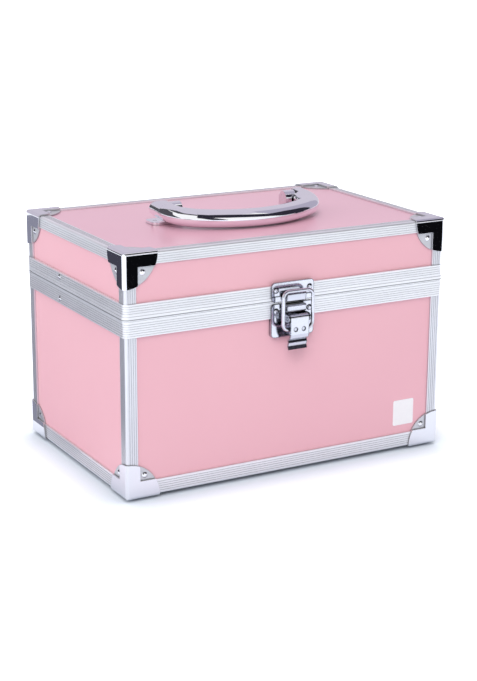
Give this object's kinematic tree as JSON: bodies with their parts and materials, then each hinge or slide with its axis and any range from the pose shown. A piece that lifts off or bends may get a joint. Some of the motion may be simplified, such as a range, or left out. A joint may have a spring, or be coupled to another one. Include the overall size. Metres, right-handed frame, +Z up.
{
  "type": "makeup storage case",
  "caption": "Pink boxed case with aluminium edge profiles, metal corner caps, a front toggle latch, a fold-down bow handle on the lid and a lift-up inner tray.",
  "frame": {"origin": "centre of the overall bounding box in plan, on the plane that the feet stand on", "axes": "+X to the viewer's right along the width, +Y from the latch to the hinges, +Z up; -Z is the outward normal of the feet"},
  "size_m": [0.2434, 0.1743, 0.1762],
  "materials": {
    "panel_laminate": "fine-grained pink laminate, satin",
    "lid_top_laminate": "the same pink laminate, smooth and semi-gloss on top of the lid",
    "reeded_aluminium": "extruded, finely reeded, bright anodised",
    "rim_aluminium": "extruded, finely reeded, satin anodised",
    "polished_chrome": "polished chrome plate",
    "hinge_steel": "nickel-plated steel",
    "arm_steel": "zinc-plated steel strip",
    "lining_fabric": "black fleece-faced foam",
    "tray_plastic": "moulded off-white plastic",
    "foot_rubber": "moulded black rubber",
    "mirror_glass": "silvered glass"
  },
  "bodies": {
    "case": {"front_panel": "panel_laminate", "back_panel": "panel_laminate", "left_panel": "panel_laminate", "right_panel": "panel_laminate", "bottom_panel": "panel_laminate", "body_corner_posts": "reeded_aluminium", "bottom_rail_front": "reeded_aluminium", "bottom_rail_back": "reeded_aluminium", "bottom_rail_left": "reeded_aluminium", "bottom_rail_right": "reeded_aluminium", "body_rim": "rim_aluminium", "bottom_cap_front_left": "polished_chrome", "bottom_cap_front_right": "polished_chrome", "bottom_cap_back_left": "polished_chrome", "bottom_cap_back_right": "polished_chrome", "bottom_cap_rivets": "polished_chrome", "feet": "foot_rubber", "body_lining": "lining_fabric", "latch_base": "polished_chrome", "latch_base_rivets": "polished_chrome", "latch_pin": "polished_chrome", "hinge_body_leaves": "hinge_steel", "hinge_pins": "hinge_steel", "hinge_body_rivets": "hinge_steel", "arm_pivot_rivets": "polished_chrome"},
    "lid": {"lid_top_panel": "lid_top_laminate", "lid_front_panel": "panel_laminate", "lid_back_panel": "panel_laminate", "lid_left_panel": "panel_laminate", "lid_right_panel": "panel_laminate", "lid_corner_posts": "reeded_aluminium", "top_rail_front": "reeded_aluminium", "top_rail_back": "reeded_aluminium", "top_rail_left": "reeded_aluminium", "top_rail_right": "reeded_aluminium", "lid_rim": "rim_aluminium", "top_cap_front_left": "polished_chrome", "top_cap_front_right": "polished_chrome", "top_cap_back_left": "polished_chrome", "top_cap_back_right": "polished_chrome", "top_cap_rivets": "polished_chrome", "lid_lining": "lining_fabric", "mirror": "mirror_glass", "strike_plate": "polished_chrome", "strike_rivets": "polished_chrome", "hinge_lid_leaves": "hinge_steel", "hinge_lid_rivets": "hinge_steel", "handle_bracket_left": "polished_chrome", "handle_bracket_right": "polished_chrome", "handle_screws": "polished_chrome", "handle_pins": "polished_chrome", "tray_link_rivets": "polished_chrome"},
    "handle": {"handle_grip": "polished_chrome"},
    "latch_lever": {"latch_lever": "polished_chrome"},
    "latch_hasp": {"latch_hasp": "polished_chrome"},
    "tray_arms": {"tray_arm_left": "arm_steel", "tray_arm_right": "arm_steel"},
    "tray": {"tray": "tray_plastic", "tray_dividers": "tray_plastic", "tray_pivot_rivets": "polished_chrome"}
  },
  "joints": [
    {"name": "lid_hinge", "type": "hinge", "parent": "case", "child": "lid", "pos_m": [0, 0.08475, 0.1195], "axis": [-1, 0, 0], "range_deg": [0, 95]},
    {"name": "tray_arm_swing", "type": "hinge", "parent": "case", "child": "tray_arms", "pos_m": [0, 0.02465, 0.1124], "axis": [-1, 0, 0], "range_deg": [0, 95]},
    {"name": "tray_level", "type": "hinge", "parent": "tray_arms", "child": "tray", "pos_m": [0, -0.03545, 0.1204], "axis": [-1, 0, 0], "range_deg": [-95, 0]},
    {"name": "handle_swing", "type": "hinge", "parent": "lid", "child": "handle", "pos_m": [0, 0.00515, 0.1703], "axis": [-1, 0, 0], "range_deg": [0, 187]},
    {"name": "latch_lever_swing", "type": "hinge", "parent": "case", "child": "latch_lever", "pos_m": [0, -0.08445, 0.1097], "axis": [-1, 0, 0], "range_deg": [0, 150]},
    {"name": "latch_hasp_swing", "type": "hinge", "parent": "latch_lever", "child": "latch_hasp", "pos_m": [0, -0.08445, 0.1022], "axis": [-1, 0, 0], "range_deg": [-150, 0]}
  ],
  "couplings": [
    {"joint": "tray_arm_swing", "follows": "lid_hinge", "ratio": 1},
    {"joint": "tray_level", "follows": "lid_hinge", "ratio": -1},
    {"joint": "latch_hasp_swing", "follows": "latch_lever_swing", "ratio": -1}
  ]
}
